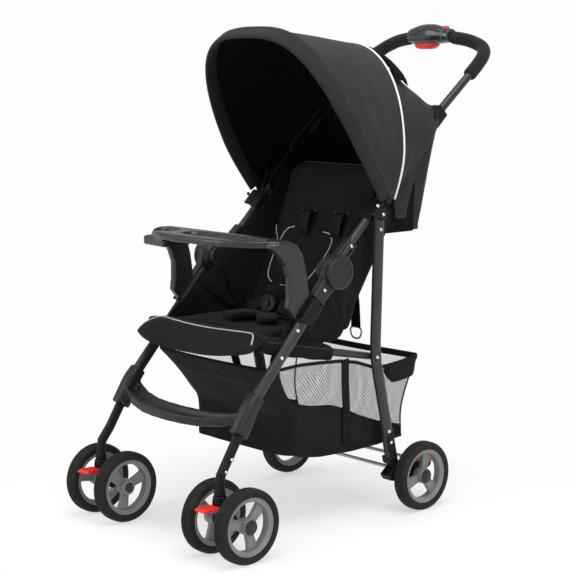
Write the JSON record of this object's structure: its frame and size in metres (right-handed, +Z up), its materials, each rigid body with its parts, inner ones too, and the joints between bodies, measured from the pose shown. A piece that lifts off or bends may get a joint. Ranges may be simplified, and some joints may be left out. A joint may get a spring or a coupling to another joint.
{
  "type": "travel stroller",
  "caption": "Folding travel stroller with push bar, reclining seat, child tray, pivoting canopy, storage basket and swivelling front casters with twin wheels.",
  "frame": {"origin": "on the floor, under the middle of the overall box", "axes": "+Z up, the child faces -Y, the pusher stands at +Y, the child's left is +X"},
  "size_m": [0.519, 0.8774, 1.0513],
  "materials": {
    "frame_paint": "satin dark grey paint",
    "black_nylon": "moulded, matt",
    "grey_plastic": "moulded, satin",
    "gloss_plastic": "moulded, glossy",
    "red_plastic": "moulded, glossy",
    "grip_foam": "closed-cell foam, matt",
    "tyre": "matt",
    "rim_plastic": "moulded, satin",
    "axle_steel": "drawn rod",
    "seat_fabric": "woven polyester, matt",
    "canopy_fabric": "woven polyester, matt",
    "basket_fabric": "woven polyester and mesh, matt"
  },
  "bodies": {
    "chassis": {"front_leg_left": "frame_paint", "front_leg_right": "frame_paint", "leg_foot_left": "black_nylon", "leg_foot_right": "black_nylon", "hub_lower_left": "grey_plastic", "hub_lower_right": "grey_plastic", "hub_cap_left": "grey_plastic", "hub_cap_right": "grey_plastic", "tray_bracket_left": "grey_plastic", "tray_bracket_right": "grey_plastic", "footrest_bar": "grey_plastic", "basket": "basket_fabric"},
    "seat_frame": {"seat_tube": "frame_paint", "seat_pad": "seat_fabric", "leg_rest": "seat_fabric", "buckle": "grey_plastic"},
    "backrest": {"backrest": "seat_fabric"},
    "buckle_button": {"buckle_button": "grey_plastic"},
    "tray": {"tray": "grey_plastic"},
    "handle_frame": {"handle_tube": "frame_paint", "hub_upper_left": "grey_plastic", "hub_upper_right": "grey_plastic", "top_joint_left": "grey_plastic", "top_joint_right": "grey_plastic", "canopy_clip_left": "grey_plastic", "canopy_clip_right": "grey_plastic", "grip_left": "grip_foam", "grip_right": "grip_foam", "handle_module": "gloss_plastic", "rear_curtain": "canopy_fabric"},
    "fold_lever": {"fold_lever": "red_plastic"},
    "lock_button": {"lock_button": "red_plastic"},
    "rear_legs": {"rear_leg_left": "frame_paint", "rear_leg_right": "frame_paint", "rear_foot_left": "black_nylon", "rear_foot_right": "black_nylon", "rear_axle": "axle_steel"},
    "brake": {"brake_bar": "axle_steel", "brake_pedal_left": "red_plastic", "brake_pedal_right": "red_plastic"},
    "canopy_mid": {"canopy_bow_mid": "seat_fabric", "canopy_rear_panel": "canopy_fabric"},
    "canopy_front": {"canopy_bow_front": "seat_fabric", "canopy_front_panel": "canopy_fabric"},
    "caster_left": {"caster_fork_left": "black_nylon"},
    "swivel_lock_left": {"swivel_lock_left": "red_plastic"},
    "front_wheel_left_inner": {"front_tyre_left_inner": "tyre", "front_rim_left_inner": "rim_plastic"},
    "front_wheel_left_outer": {"front_tyre_left_outer": "tyre", "front_rim_left_outer": "rim_plastic"},
    "rear_wheel_left": {"rear_tyre_left": "tyre", "rear_rim_left": "rim_plastic"},
    "caster_right": {"caster_fork_right": "black_nylon"},
    "swivel_lock_right": {"swivel_lock_right": "red_plastic"},
    "front_wheel_right_inner": {"front_tyre_right_inner": "tyre", "front_rim_right_inner": "rim_plastic"},
    "front_wheel_right_outer": {"front_tyre_right_outer": "tyre", "front_rim_right_outer": "rim_plastic"},
    "rear_wheel_right": {"rear_tyre_right": "tyre", "rear_rim_right": "rim_plastic"}
  },
  "joints": [
    {"name": "fold", "type": "hinge", "parent": "chassis", "child": "handle_frame", "pos_m": [0, -0.08039, 0.539], "axis": [-1, 0, 0], "range_deg": [0, 135], "deforming": ["basket", "seat_pad", "leg_rest", "backrest", "rear_curtain", "canopy_rear_panel", "canopy_front_panel"]},
    {"name": "seat_fold", "type": "hinge", "parent": "chassis", "child": "seat_frame", "pos_m": [0, -0.20884, 0.39832], "axis": [-1, 0, 0], "range_deg": [0, 94]},
    {"name": "rear_leg_fold", "type": "hinge", "parent": "handle_frame", "child": "rear_legs", "pos_m": [0, 0.05086, 0.64681], "axis": [1, 0, 0], "range_deg": [0, 97]},
    {"name": "canopy_fold", "type": "hinge", "parent": "canopy_mid", "child": "canopy_front", "pos_m": [0, 0.06861, 0.677], "axis": [-1, 0, 0], "range_deg": [0, 46], "deforming": ["canopy_rear_panel", "canopy_front_panel"]},
    {"name": "canopy_mid_fold", "type": "hinge", "parent": "handle_frame", "child": "canopy_mid", "pos_m": [0, 0.06861, 0.677], "axis": [-1, 0, 0], "range_deg": [0, 25]},
    {"name": "recline", "type": "hinge", "parent": "seat_frame", "child": "backrest", "pos_m": [0, -0.02039, 0.398], "axis": [-1, 0, 0], "range_deg": [0, 30], "deforming": ["rear_curtain"]},
    {"name": "tray_swing", "type": "hinge", "parent": "chassis", "child": "tray", "pos_m": [-0.2063, -0.13708, 0.50139], "axis": [0, -0.6743, -0.7385], "range_deg": [0, 100]},
    {"name": "caster_left", "type": "hinge", "parent": "chassis", "child": "caster_left", "pos_m": [0.195, -0.38639, 0.131], "axis": [0, 0, 1], "continuous": true},
    {"name": "swivel_lock_left", "type": "hinge", "parent": "caster_left", "child": "swivel_lock_left", "pos_m": [0.195, -0.40039, 0.113], "axis": [-1, 0, 0], "range_deg": [0, 20]},
    {"name": "front_wheel_left_inner_spin", "type": "hinge", "parent": "caster_left", "child": "front_wheel_left_inner", "pos_m": [0.1455, -0.36099, 0.075], "axis": [1, 0, 0], "continuous": true},
    {"name": "front_wheel_left_outer_spin", "type": "hinge", "parent": "caster_left", "child": "front_wheel_left_outer", "pos_m": [0.2445, -0.36099, 0.075], "axis": [1, 0, 0], "continuous": true},
    {"name": "rear_wheel_left_spin", "type": "hinge", "parent": "rear_legs", "child": "rear_wheel_left", "pos_m": [0.2135, 0.16661, 0.075], "axis": [1, 0, 0], "continuous": true},
    {"name": "caster_right", "type": "hinge", "parent": "chassis", "child": "caster_right", "pos_m": [-0.195, -0.38639, 0.131], "axis": [0, 0, 1], "continuous": true},
    {"name": "swivel_lock_right", "type": "hinge", "parent": "caster_right", "child": "swivel_lock_right", "pos_m": [-0.195, -0.40039, 0.113], "axis": [-1, 0, 0], "range_deg": [0, 20]},
    {"name": "front_wheel_right_inner_spin", "type": "hinge", "parent": "caster_right", "child": "front_wheel_right_inner", "pos_m": [-0.1455, -0.36099, 0.075], "axis": [1, 0, 0], "continuous": true},
    {"name": "front_wheel_right_outer_spin", "type": "hinge", "parent": "caster_right", "child": "front_wheel_right_outer", "pos_m": [-0.2445, -0.36099, 0.075], "axis": [1, 0, 0], "continuous": true},
    {"name": "rear_wheel_right_spin", "type": "hinge", "parent": "rear_legs", "child": "rear_wheel_right", "pos_m": [-0.2135, 0.16661, 0.075], "axis": [1, 0, 0], "continuous": true},
    {"name": "brake", "type": "hinge", "parent": "rear_legs", "child": "brake", "pos_m": [0, 0.20661, 0.093], "axis": [-1, 0, 0], "range_deg": [0, 12]},
    {"name": "fold_lever", "type": "slide", "parent": "handle_frame", "child": "fold_lever", "axis": [0, 0, 1], "range_m": [0, 0.006], "stiffness_N_per_m": 250},
    {"name": "lock_button", "type": "slide", "parent": "handle_frame", "child": "lock_button", "axis": [0, 0, -1], "range_m": [0, 0.003], "stiffness_N_per_m": 400},
    {"name": "buckle_button", "type": "slide", "parent": "seat_frame", "child": "buckle_button", "axis": [0, 0.9426, -0.3338], "range_m": [0, 0.003], "stiffness_N_per_m": 400}
  ],
  "couplings": [
    {"joint": "seat_fold", "follows": "fold", "ratio": 0.696},
    {"joint": "rear_leg_fold", "follows": "fold", "ratio": 0.7185},
    {"joint": "canopy_mid_fold", "follows": "canopy_fold", "ratio": 0.54}
  ]
}
